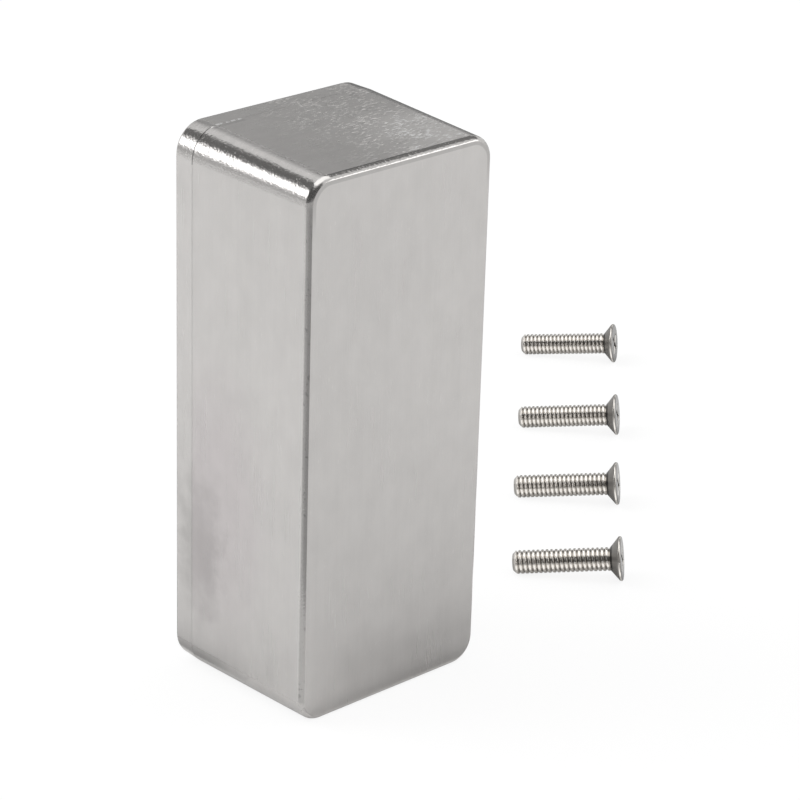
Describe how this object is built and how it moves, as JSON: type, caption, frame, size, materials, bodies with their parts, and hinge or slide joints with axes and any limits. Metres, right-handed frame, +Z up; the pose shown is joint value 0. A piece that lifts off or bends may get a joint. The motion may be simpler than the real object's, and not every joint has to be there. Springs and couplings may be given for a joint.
{
  "type": "die-cast aluminium box",
  "caption": "Small die-cast aluminium electronics case standing on its short end, with drafted walls, a seated lid and its countersunk lid screws laid out beside it.",
  "frame": {"origin": "centre of the flat strip of the base's short end that the case stands on; the bench is z = 0", "axes": "+Z up, +X to the right across the closed face as seen from in front of it, +Y to the back, where the lid is; the case leans forward by its 1.8 degree draft, so its seam plane and faces are turned about X by that angle"},
  "size_m": [0.1515, 0.0955, 0.0926],
  "materials": {
    "cast_aluminium": "bare, with a fine brushed grain",
    "plated_steel": "bright nickel plating"
  },
  "bodies": {
    "root": {"base": "cast_aluminium", "lid": "cast_aluminium", "lid_screw_1": "plated_steel", "lid_screw_2": "plated_steel", "lid_screw_3": "plated_steel", "lid_screw_4": "plated_steel"}
  },
  "joints": []
}
